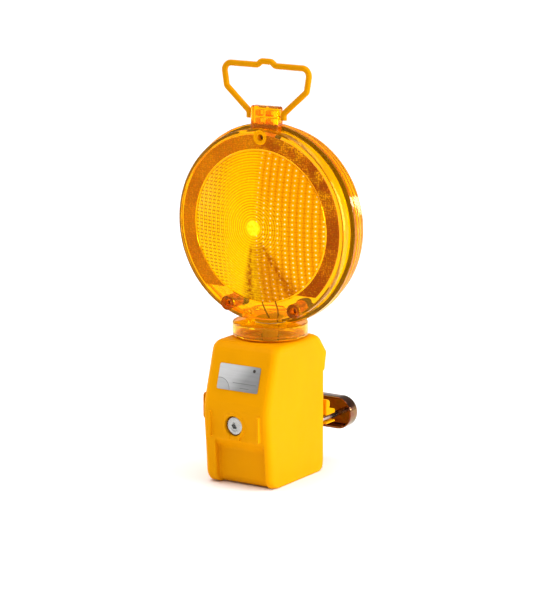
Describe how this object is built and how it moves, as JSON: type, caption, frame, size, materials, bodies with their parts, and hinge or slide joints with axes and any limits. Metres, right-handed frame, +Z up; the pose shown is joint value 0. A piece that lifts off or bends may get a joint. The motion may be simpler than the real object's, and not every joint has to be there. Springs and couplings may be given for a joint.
{
  "type": "warning lamp",
  "caption": "Amber road-works warning lamp: round lens head with bail handle, swivelling on a battery housing that clamps to a post or board.",
  "frame": {"origin": "on the underside of the housing, on the swivel axis of the head", "axes": "+Z up along the swivel axis, -Y out of the lens (front), +X to the lamp's own left seen from behind"},
  "size_m": [0.199, 0.166, 0.4146],
  "materials": {
    "yellow_abs": "satin moulded traffic-yellow plastic",
    "amber_polycarbonate": "clear amber plastic",
    "retroreflector": "amber micro-prism reflector",
    "black_rubber": "matt black rubber",
    "orange_rubber": "orange silicone rubber",
    "black_plastic": "black moulded plastic",
    "zinc_steel": "zinc-plated steel",
    "yellow_chromate": "polished, yellow-chromated steel",
    "label_foil": "blank silver foil plate",
    "circuit_board": "green circuit board",
    "battery_wrap": "dark battery wrap",
    "contact_brass": "stamped brass",
    "natural_nylon": "natural nylon",
    "led_resin": "clear amber resin",
    "red_wire": "dark red insulated wire",
    "dark_wire": "black insulated wire"
  },
  "bodies": {
    "base": {"housing_shell": "yellow_abs", "rear_saddle": "yellow_abs", "label_plate": "label_foil", "battery_case": "battery_wrap", "battery_spring_centre": "zinc_steel", "battery_spring_corner": "zinc_steel", "contact_centre": "contact_brass", "contact_corner": "contact_brass", "contact_carrier": "natural_nylon", "slip_contact_lower": "natural_nylon", "battery_lead_1": "red_wire", "battery_lead_2": "dark_wire", "switch_body": "black_plastic", "bolt_washer": "zinc_steel", "neck_seal": "orange_rubber"},
    "cover": {"battery_cover": "yellow_abs"},
    "button": {"mode_button": "yellow_abs"},
    "bolt": {"clamp_bolt": "zinc_steel", "bolt_clip": "zinc_steel"},
    "clamp": {"clamp_stirrup": "zinc_steel", "clamp_rod_left": "yellow_chromate", "clamp_rod_right": "yellow_chromate", "clamp_bar": "yellow_chromate", "rod_washer_left": "yellow_chromate", "rod_washer_right": "yellow_chromate", "rod_nut_left": "yellow_chromate", "rod_nut_right": "yellow_chromate"},
    "head": {"front_lens": "amber_polycarbonate", "rear_shell": "amber_polycarbonate", "shell_gasket": "black_rubber", "retro_ring": "retroreflector", "lens_screw_top": "zinc_steel", "lens_screw_left": "zinc_steel", "lens_screw_right": "zinc_steel", "screw_grommet_top": "black_rubber", "screw_grommet_left": "black_rubber", "screw_grommet_right": "black_rubber", "led_pillar": "natural_nylon", "led_board": "circuit_board", "led_emitter": "led_resin", "light_sensor": "led_resin", "head_lead_1": "dark_wire", "head_lead_2": "red_wire", "neck_collar": "amber_polycarbonate", "neck_clip": "zinc_steel", "slip_contact_upper": "natural_nylon"},
    "bail": {"handle": "yellow_abs"}
  },
  "joints": [
    {"name": "head_swivel", "type": "hinge", "parent": "base", "child": "head", "pos_m": [0, 0, 0.142], "axis": [0, 0, 1], "range_deg": [-170, 170]},
    {"name": "handle_hinge", "type": "hinge", "parent": "head", "child": "bail", "pos_m": [0, -0.0067, 0.3575], "axis": [1, 0, 0], "range_deg": [-95, 95]},
    {"name": "clamp_bolt_turn", "type": "hinge", "parent": "base", "child": "bolt", "pos_m": [0, -0.0642, 0.0619], "axis": [0, 1, 0], "range_deg": [-1010, 1730]},
    {"name": "clamp_slide", "type": "slide", "parent": "base", "child": "clamp", "axis": [0, -1, 0], "range_m": [-0.0035, 0.006]},
    {"name": "battery_cover_slide", "type": "slide", "parent": "base", "child": "cover", "axis": [0, 1, 0], "range_m": [0, 0.088]},
    {"name": "mode_button_press", "type": "slide", "parent": "base", "child": "button", "axis": [1, 0, 0], "range_m": [0, 0.0008], "stiffness_N_per_m": 800, "springref_m": -0.001}
  ],
  "couplings": [
    {"joint": "clamp_bolt_turn", "follows": "clamp_slide", "rad_per_m": 5026.5}
  ]
}
